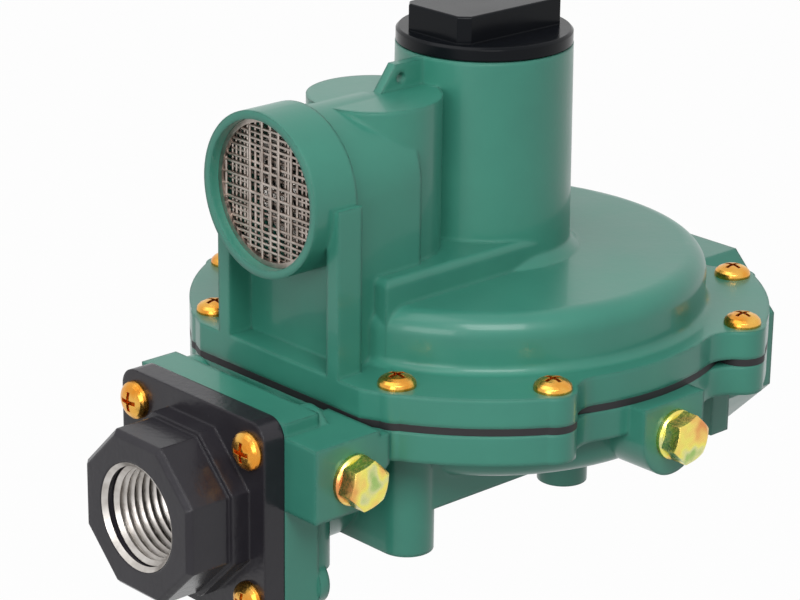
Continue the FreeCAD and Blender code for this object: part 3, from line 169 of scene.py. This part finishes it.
# %% Camera
AZIMUTH = math.radians(-42.38)
ELEVATION = math.radians(20.12)
ROLL = math.radians(0.51)
DISTANCE = 0.60262
AIM_HEIGHT = 0.0261
SIDE_STEP = -0.02271
UP_STEP = -0.00533
level_reach = math.cos(ELEVATION)
back = Vector((math.sin(AZIMUTH) * level_reach, -math.cos(AZIMUTH) * level_reach, math.sin(ELEVATION)))
level_right = Vector((math.cos(AZIMUTH), math.sin(AZIMUTH), 0))
level_up = back.cross(level_right)
right = level_right * math.cos(ROLL) + level_up * math.sin(ROLL)
up = level_up * math.cos(ROLL) - level_right * math.sin(ROLL)
aim_point = Vector((0, 0, AIM_HEIGHT))
lens_data = bpy.data.cameras.new("product_camera")
lens_data.lens = 129.95
lens_data.sensor_width = 36.0
lens_data.shift_x = 0.0376
lens_data.shift_y = 0.0139
lens_data.clip_start = 0.01
lens_data.clip_end = 50.0
camera = bpy.data.objects.new("product_camera", lens_data)
scene.collection.objects.link(camera)
turn = Matrix((right, up, back)).transposed().to_4x4()
turn.translation = aim_point + right * SIDE_STEP + up * UP_STEP + back * DISTANCE
camera.matrix_world = turn
scene.camera = camera


# %% [markdown]
# Every finish is built on the same few effects. Each effect is a node group with its own inputs,
# so that one mend improves all the materials that use it.

# %% Effect groups
def new_group(name, inputs, outputs):
    """A shader node group with the named sockets. Inputs carry their default values."""
    group = bpy.data.node_groups.new(name, "ShaderNodeTree")
    for label, kind, value in inputs:
        socket = group.interface.new_socket(name=label, in_out="INPUT", socket_type=kind)
        if value is not None:
            socket.default_value = value
    for label, kind in outputs:
        group.interface.new_socket(name=label, in_out="OUTPUT", socket_type=kind)
    return group, group.nodes.new("NodeGroupInput"), group.nodes.new("NodeGroupOutput")


def noise(tree, where, scale, detail=3.0, rough=0.5):
    node = tree.nodes.new("ShaderNodeTexNoise")
    node.inputs["Scale"].default_value = scale
    node.inputs["Detail"].default_value = detail
    node.inputs["Roughness"].default_value = rough
    tree.links.new(where, node.inputs["Vector"])
    return node.outputs["Fac"]


def math_node(tree, operation, first, second, clamp=False):
    node = tree.nodes.new("ShaderNodeMath")
    node.operation = operation
    node.use_clamp = clamp
    for socket, value in zip(node.inputs, (first, second)):
        if isinstance(value, (int, float)):
            socket.default_value = value
        else:
            tree.links.new(value, socket)
    return node.outputs[0]


def stretch(tree, value, low, high, to_low=0.0, to_high=1.0):
    node = tree.nodes.new("ShaderNodeMapRange")
    node.inputs["From Min"].default_value = low
    node.inputs["From Max"].default_value = high
    node.inputs["To Min"].default_value = to_low
    node.inputs["To Max"].default_value = to_high
    tree.links.new(value, node.inputs["Value"])
    return node.outputs["Result"]


def blend_colours(tree, mask, first, second):
    node = tree.nodes.new("ShaderNodeMix")
    node.data_type = "RGBA"
    for socket, value in ((node.inputs[0], mask), (node.inputs[6], first), (node.inputs[7], second)):
        if isinstance(value, tuple):
            socket.default_value = value
        elif isinstance(value, (int, float)):
            socket.default_value = value
        else:
            tree.links.new(value, socket)
    return node.outputs[2]


# %% [markdown]
# Paint on a die casting is never flat. It shows a fine orange peel and a slow waviness, and its tone
# drifts a little. Three sizes of noise give these, as one height and one cloud mask.

# %% Cast skin: the faint waviness and orange peel of paint on a die casting
cast_skin, cast_in, cast_out = new_group(
    "cast_skin",
    (("Vector", "NodeSocketVector", None), ("Peel", "NodeSocketFloat", 0.5)),
    (("Height", "NodeSocketFloat"), ("Cloud", "NodeSocketFloat")),
)
peel = noise(cast_skin, cast_in.outputs["Vector"], 900.0, 1.0)
wave = noise(cast_skin, cast_in.outputs["Vector"], 110.0, 2.0)
cloud = noise(cast_skin, cast_in.outputs["Vector"], 38.0, 4.0, 0.6)
peel_part = math_node(cast_skin, "MULTIPLY", peel, cast_in.outputs["Peel"])
wave_part = math_node(cast_skin, "MULTIPLY", wave, 1.6)
cast_skin.links.new(math_node(cast_skin, "ADD", peel_part, wave_part), cast_out.inputs["Height"])
cast_skin.links.new(stretch(cast_skin, cloud, 0.3, 0.7), cast_out.inputs["Cloud"])

# %% [markdown]
# Real castings have rounded edges. The solids stay as they are, and a bevel node turns the normals
# near each corner, which catches the light as a rounded edge would.

# %% Soft edge: rounds the light over sharp corners, as thick paint or a worn tool does
soft_edge, edge_in, edge_out = new_group(
    "soft_edge", (("Radius", "NodeSocketFloat", 0.0006),), (("Normal", "NodeSocketVector"),)
)
rounder = soft_edge.nodes.new("ShaderNodeBevel")
rounder.samples = 4
soft_edge.links.new(edge_in.outputs["Radius"], rounder.inputs["Radius"])
soft_edge.links.new(rounder.outputs["Normal"], edge_out.inputs["Normal"])

# %% [markdown]
# Passivated zinc shows drifting colours and tiny specks. The group gives both as plain masks, and each
# plated finish turns them into its own colours.

# %% Plating tint: the drifting gold, pink and green of passivated zinc
plating_tint, tint_in, tint_out = new_group(
    "plating_tint",
    (("Vector", "NodeSocketVector", None), ("Scale", "NodeSocketFloat", 140.0)),
    (("Drift", "NodeSocketFloat"), ("Speck", "NodeSocketFloat")),
)
drift = plating_tint.nodes.new("ShaderNodeTexNoise")
drift.inputs["Detail"].default_value = 2.0
plating_tint.links.new(tint_in.outputs["Vector"], drift.inputs["Vector"])
plating_tint.links.new(tint_in.outputs["Scale"], drift.inputs["Scale"])
plating_tint.links.new(stretch(plating_tint, drift.outputs["Fac"], 0.3, 0.7), tint_out.inputs["Drift"])
speck = noise(plating_tint, tint_in.outputs["Vector"], 1500.0, 2.0)
plating_tint.links.new(stretch(plating_tint, speck, 0.4, 0.75), tint_out.inputs["Speck"])

# %% [markdown]
# Turned parts carry fine grooves. A ring wave gives them as a height.

# %% Tool rings: fine grooves left by a lathe tool, as height
tool_rings, ring_in, ring_out = new_group(
    "tool_rings",
    (("Vector", "NodeSocketVector", None), ("Scale", "NodeSocketFloat", 1200.0)),
    (("Height", "NodeSocketFloat"),),
)
rings = tool_rings.nodes.new("ShaderNodeTexWave")
rings.wave_type = "RINGS"
rings.rings_direction = "Z"
rings.inputs["Distortion"].default_value = 0.6
tool_rings.links.new(ring_in.outputs["Vector"], rings.inputs["Vector"])
tool_rings.links.new(ring_in.outputs["Scale"], rings.inputs["Scale"])
tool_rings.links.new(rings.outputs["Fac"], ring_out.inputs["Height"])


# %% [markdown]
# Each material starts from plain values on the shader's own sockets. The groups then add colour drift,
# uneven gloss and relief on top.

# %% A material starts from its plain values
def start_material(name, colour, rough, metal=0.0, coat=0.0, coat_rough=0.05, ior=1.5, shine=0.5):
    material = bpy.data.materials.new(name)
    material.use_nodes = True
    tree = material.node_tree
    skin = tree.nodes["Principled BSDF"]
    skin.inputs["Base Color"].default_value = (*colour, 1.0)
    skin.inputs["Roughness"].default_value = rough
    skin.inputs["Metallic"].default_value = metal
    skin.inputs["Coat Weight"].default_value = coat
    skin.inputs["Coat Roughness"].default_value = coat_rough
    skin.inputs["IOR"].default_value = ior
    skin.inputs["Specular IOR Level"].default_value = shine
    where = tree.nodes.new("ShaderNodeTexCoord").outputs["Object"]
    return material, tree, skin, where


def place_group(tree, group, where=None, **values):
    node = tree.nodes.new("ShaderNodeGroup")
    node.node_tree = group
    if where is not None:
        tree.links.new(where, node.inputs["Vector"])
    for label, value in values.items():
        node.inputs[label].default_value = value
    return node


def add_relief(tree, skin, height, depth, radius):
    """A bump in metres over normals that are softened at the edges."""
    bump = tree.nodes.new("ShaderNodeBump")
    bump.inputs["Strength"].default_value = 1.0
    bump.inputs["Distance"].default_value = depth
    tree.links.new(height, bump.inputs["Height"])
    if radius:
        soft = place_group(tree, soft_edge, Radius=radius)
        tree.links.new(soft.outputs["Normal"], bump.inputs["Normal"])
    tree.links.new(bump.outputs["Normal"], skin.inputs["Normal"])


# %% [markdown]
# The castings wear a smooth green enamel with a thin clear gloss.

# %% Green enamel
def green_enamel():
    base = (0.036, 0.235, 0.165)
    material, tree, skin, where = start_material("green_enamel", base, 0.32, 0.0, 0.25, 0.08, 1.4)
    cast = place_group(tree, cast_skin, where, Peel=0.5)
    tone = blend_colours(tree, cast.outputs["Cloud"], (0.040, 0.225, 0.165, 1.0), (0.050, 0.262, 0.190, 1.0))
    tree.links.new(tone, skin.inputs["Base Color"])
    tree.links.new(stretch(tree, cast.outputs["Cloud"], 0.0, 1.0, 0.3, 0.42), skin.inputs["Roughness"])
    add_relief(tree, skin, cast.outputs["Height"], 0.00003, 0.0013)
    return material


# %% [markdown]
# The inlet fitting is black enamel on a casting. The cap is moulded plastic, darker and smoother.

# %% Black enamel and black plastic
def black_enamel():
    material, tree, skin, where = start_material("black_enamel", (0.022, 0.021, 0.026), 0.3, shine=0.3)
    cast = place_group(tree, cast_skin, where, Peel=0.8)
    tone = blend_colours(tree, cast.outputs["Cloud"], (0.018, 0.016, 0.021, 1.0), (0.030, 0.028, 0.034, 1.0))
    tree.links.new(tone, skin.inputs["Base Color"])
    tree.links.new(stretch(tree, cast.outputs["Cloud"], 0.0, 1.0, 0.16, 0.3), skin.inputs["Roughness"])
    add_relief(tree, skin, cast.outputs["Height"], 0.00005, 0.0007)
    return material


def cap_plastic():
    material, tree, skin, where = start_material("cap_plastic", (0.004, 0.005, 0.007), 0.2, shine=0.12)
    cast = place_group(tree, cast_skin, where, Peel=0.15)
    tree.links.new(stretch(tree, cast.outputs["Cloud"], 0.0, 1.0, 0.16, 0.28), skin.inputs["Roughness"])
    add_relief(tree, skin, cast.outputs["Height"], 0.00001, 0.0003)
    return material


# %% [markdown]
# The screws are golden, and the plugs are paler with patches of orange, yellow and green.

# %% Plated screws and plugs
def gold_plating():
    material, tree, skin, where = start_material("gold_plating", (0.78, 0.45, 0.09), 0.26, 1.0)
    tint = place_group(tree, plating_tint, where, Scale=260.0)
    tone = blend_colours(tree, tint.outputs["Drift"], (0.72, 0.27, 0.03, 1.0), (0.80, 0.47, 0.10, 1.0))
    tree.links.new(tone, skin.inputs["Base Color"])
    tree.links.new(stretch(tree, tint.outputs["Speck"], 0.0, 1.0, 0.2, 0.36), skin.inputs["Roughness"])
    add_relief(tree, skin, tint.outputs["Speck"], 0.00001, 0.0002)
    return material


def yellow_plating():
    material, tree, skin, where = start_material("yellow_plating", (0.72, 0.62, 0.2), 0.3, 1.0)
    tint = place_group(tree, plating_tint, where, Scale=170.0)
    ramp = tree.nodes.new("ShaderNodeValToRGB")
    bar = ramp.color_ramp
    bar.elements[0].color = (0.72, 0.30, 0.10, 1.0)
    bar.elements[1].color = (0.36, 0.52, 0.16, 1.0)
    patches = (
        (0.35, (0.86, 0.60, 0.16, 1.0)),
        (0.6, (0.82, 0.76, 0.16, 1.0)),
        (0.8, (0.66, 0.66, 0.30, 1.0)),
    )
    for place, colour in patches:
        bar.elements.new(place).color = colour
    tree.links.new(tint.outputs["Drift"], ramp.inputs["Fac"])
    tree.links.new(ramp.outputs["Color"], skin.inputs["Base Color"])
    tree.links.new(stretch(tree, tint.outputs["Speck"], 0.0, 1.0, 0.22, 0.4), skin.inputs["Roughness"])
    add_relief(tree, skin, tint.outputs["Speck"], 0.00001, 0.00025)
    return material


# %% [markdown]
# The remaining parts are inside or small: bare metals, the rubber of the diaphragm, and white plastic.

# %% Bare metals, rubber and white plastic
def bare_metal(name, dark, light, rough, ring_scale, edge):
    material, tree, skin, where = start_material(name, light, rough, 1.0)
    tint = place_group(tree, plating_tint, where, Scale=320.0)
    tone = blend_colours(tree, tint.outputs["Drift"], (*dark, 1.0), (*light, 1.0))
    tree.links.new(tone, skin.inputs["Base Color"])
    gloss = stretch(tree, tint.outputs["Speck"], 0.0, 1.0, rough * 0.8, rough * 1.3)
    tree.links.new(gloss, skin.inputs["Roughness"])
    if ring_scale:
        groove = place_group(tree, tool_rings, where, Scale=ring_scale)
        add_relief(tree, skin, groove.outputs["Height"], 0.00001, edge)
    else:
        add_relief(tree, skin, tint.outputs["Drift"], 0.00001, edge)
    return material


def dull_material(name, dark, light, rough):
    material, tree, skin, where = start_material(name, light, rough)
    cast = place_group(tree, cast_skin, where, Peel=1.0)
    tone = blend_colours(tree, cast.outputs["Cloud"], (*dark, 1.0), (*light, 1.0))
    tree.links.new(tone, skin.inputs["Base Color"])
    gloss = stretch(tree, cast.outputs["Cloud"], 0.0, 1.0, rough * 0.85, rough)
    tree.links.new(gloss, skin.inputs["Roughness"])
    add_relief(tree, skin, cast.outputs["Height"], 0.00002, 0.0002)
    return material


finishes = {
    "green_paint": green_enamel(),
    "black_paint": black_enamel(),
    "black_plastic": cap_plastic(),
    "gold_zinc": gold_plating(),
    "yellow_zinc": yellow_plating(),
    "screen_steel": bare_metal("wire_steel", (0.30, 0.25, 0.22), (0.50, 0.44, 0.40), 0.38, 0, 0),
    "plated_steel": bare_metal("plated_steel", (0.50, 0.50, 0.50), (0.64, 0.64, 0.64), 0.3, 500.0, 0.0002),
    "bare_aluminium": bare_metal(
        "turned_aluminium", (0.60, 0.60, 0.61), (0.76, 0.76, 0.77), 0.32, 1300.0, 0.0002),
    "brass_part": bare_metal("turned_brass", (0.66, 0.45, 0.16), (0.80, 0.60, 0.26), 0.28, 1300.0, 0.0002),
    "black_rubber": dull_material("black_rubber", (0.006, 0.006, 0.007), (0.012, 0.011, 0.013), 0.7),
    "white_plastic": dull_material("white_plastic", (0.62, 0.62, 0.60), (0.74, 0.74, 0.72), 0.45),
}
thread_metal = bare_metal("thread_metal", (0.44, 0.41, 0.38), (0.62, 0.59, 0.56), 0.36, 0, 0)

# %% [markdown]
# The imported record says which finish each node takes, so the nodes are dressed from it.

# %% Dress the CAD nodes
slot_of = {row["node"]: row["material_slot"] for row in frame["record"]["subparts"]}
for name, node in frame["nodes"].items():
    node.data.materials.clear()
    node.data.materials.append(finishes[slot_of[name]])
print("dressed", len(slot_of), "CAD nodes")

# %% [markdown]
# Pipe threads are a helix. The outline of one thread, root to crest and back to the root, is a short
# bent line. Winding that line round the pipe axis while it moves one pitch along for every turn
# gives the whole thread, with clean edges that run along the helix. A thin wall is added at the end.


# %% Finish a thin turned sleeve
MM = 0.001
WALL = 0.06 * MM


def finish_sleeve(sleeve):
    """Turn the faces to the axis, add a thin wall, and hand the sleeve over with its finish."""
    bpy.ops.object.mode_set(mode="EDIT")
    bpy.ops.mesh.select_all(action="SELECT")
    bpy.ops.mesh.normals_make_consistent(inside=True)
    bpy.ops.object.mode_set(mode="OBJECT")
    wall = sleeve.modifiers.new("wall", "SOLIDIFY")
    wall.thickness = WALL
    wall.offset = -1.0
    bpy.ops.object.modifier_apply(modifier="wall")
    bpy.ops.object.shade_smooth_by_angle(angle=math.radians(30))
    sleeve.data.materials.append(thread_metal)
    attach(sleeve, "case")
    print(sleeve.name, len(sleeve.data.polygons), "faces")


# %% Pipe threads
def pipe_thread(name, mouth, inward, crest, root, pitch, turns):
    """A threaded sleeve from the mouth point inward along X, in metres."""
    bpy.ops.mesh.primitive_plane_add(size=1.0, location=(0, 0, 0))
    sleeve = bpy.context.object
    sleeve.name = name
    bpy.ops.object.mode_set(mode="EDIT")
    bpy.ops.mesh.select_all(action="DESELECT")
    bpy.ops.object.mode_set(mode="OBJECT")
    for vertex in sleeve.data.vertices:
        vertex.select = vertex.co.y > 0
    bpy.ops.object.mode_set(mode="EDIT")
    bpy.ops.mesh.delete(type="VERT")
    bpy.ops.mesh.select_all(action="SELECT")
    bpy.ops.mesh.subdivide(number_cuts=4)
    bpy.ops.object.mode_set(mode="OBJECT")
    outline = ((0.0, root), (0.06, root), (0.44, crest), (0.56, crest), (0.94, root), (1.0, root))
    in_order = sorted(sleeve.data.vertices, key=lambda vertex: vertex.co.x)
    for vertex, (share, radius) in zip(in_order, outline):
        vertex.co = (pitch * share, 0.0, radius)
    wind = sleeve.modifiers.new("wind", "SCREW")
    wind.axis = "X"
    wind.angle = math.radians(360)
    wind.screw_offset = pitch
    wind.steps = 96
    wind.render_steps = 96
    wind.iterations = turns
    wind.use_merge_vertices = True
    wind.merge_threshold = 0.000001
    bpy.ops.object.modifier_apply(modifier="wind")
    for vertex in sleeve.data.vertices:
        vertex.co.x = mouth[0] + vertex.co.x * inward
        vertex.co.y = mouth[1] + vertex.co.y * inward
        vertex.co.z = mouth[2] + vertex.co.z
    finish_sleeve(sleeve)


# %% Turned mouths
def turned_mouth(name, mouth, inward, wide, narrow, depth):
    """The bright countersink in front of a thread, from the mouth point inward along X."""
    centre = (mouth[0] + inward * depth / 2, mouth[1], mouth[2])
    bpy.ops.mesh.primitive_cone_add(vertices=96, radius1=wide, radius2=narrow, depth=depth,
                                    end_fill_type="NOTHING", location=centre,
                                    rotation=(0, inward * math.pi / 2, 0))
    ring = bpy.context.object
    ring.name = name
    bpy.ops.object.transform_apply(location=True, rotation=True, scale=True)
    finish_sleeve(ring)


# %% Place the threads
PITCH = 25.4 / 14 * MM
bores = {row["name"]: row for row in frame["record"]["mounts"]}
inlet_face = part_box("inlet_body")[0].x
outlet_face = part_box("lower_casing")[1].x
# each sleeve stands this far inside the solid's plain bore
ROOM = 0.3 * MM
THREAD_DEPTH = 0.9 * MM
MOUTH_DEPTH = 0.9 * MM
MOUTH_SET = 0.1 * MM
inlet_root = bores["inlet"]["dims"]["r_mm"] * MM - ROOM
outlet_root = bores["outlet"]["dims"]["r_mm"] * MM - ROOM
vent_level = bores["vent"]["pos_m"][2]
pipe_ends = (("inlet", inlet_face, 1.0, inlet_root), ("outlet", outlet_face, -1.0, outlet_root))
for side, face, inward, root in pipe_ends:
    mouth = (face + inward * MOUTH_SET, 0, 0)
    turned_mouth(side + "_mouth", mouth, inward, root + MOUTH_DEPTH, root, MOUTH_DEPTH)
for side, face, inward, root in pipe_ends:
    start = (face + inward * (MOUTH_SET + MOUTH_DEPTH), 0, 0)
    pipe_thread(side + "_thread", start, inward, root - THREAD_DEPTH, root, PITCH, 8)
vent_start = (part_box("vent_screen")[1].x + 1.0 * MM, 0, vent_level)
pipe_thread("vent_thread", vent_start, 1.0, outlet_root - THREAD_DEPTH, outlet_root, PITCH, 5)

# %% [markdown]
# The vent screen is a lattice of thin wires in two layers. A real screen is woven and dished. Here
# every wire is straight: one thin rod is made, and each copy is stretched to its chord of the round
# opening. Wires beside each other stand a little nearer or farther, by turns, as a weave's wires do.

# %% One straight wire
screen_low, screen_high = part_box("vent_screen")
screen_radius = (screen_high.z - screen_low.z) / 2
WIRE = 0.34 * MM
MESH = 1.22 * MM
CRIMP = 1.15 * WIRE
SCREEN_SET = 0.3 * MM
bpy.ops.mesh.primitive_cylinder_add(vertices=6, radius=WIRE, depth=1.0, location=(0, 0, 0))
straight = bpy.context.object
straight.name = "straight_wire"
print("wire", len(straight.data.vertices), "points")


# %% Lay the wires
def lay_wire(number, offset, standing):
    """One wire of the lattice, offset from the middle, standing or lying."""
    wire = straight.copy()
    wire.data = straight.data.copy()
    scene.collection.objects.link(wire)
    half = math.sqrt(max(0.0, screen_radius ** 2 - offset ** 2))
    step = -CRIMP if standing else CRIMP
    for vertex in wire.data.vertices:
        along = vertex.co.z * 2.0 * half
        side = math.cos(math.pi * (along / MESH + number)) * step
        depth = screen_low.x + SCREEN_SET + side + vertex.co.x
        across = offset + vertex.co.y
        if standing:
            vertex.co = (depth, across, vent_level + along)
        else:
            vertex.co = (depth, -along, vent_level + across)
    return wire


rows = int(screen_radius / MESH)
wires = []
for standing in (True, False):
    for number in range(-rows, rows + 1):
        offset = number * MESH
        if abs(offset) < screen_radius - WIRE:
            wires.append(lay_wire(number, offset, standing))
bpy.data.objects.remove(straight)
bpy.ops.object.select_all(action="DESELECT")
for wire in wires:
    wire.select_set(True)
bpy.context.view_layer.objects.active = wires[0]
bpy.ops.object.join()
screen = bpy.context.object
screen.name = "woven_screen"
bpy.ops.object.mode_set(mode="EDIT")
bpy.ops.mesh.select_all(action="SELECT")
bpy.ops.mesh.normals_make_consistent(inside=False)
bpy.ops.object.mode_set(mode="OBJECT")
bpy.ops.object.shade_smooth_by_angle(angle=math.radians(70))
screen.data.materials.append(finishes["screen_steel"])
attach(screen, "case")
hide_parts("vent_screen")
print("woven screen", len(wires), "wires", len(screen.data.polygons), "faces")
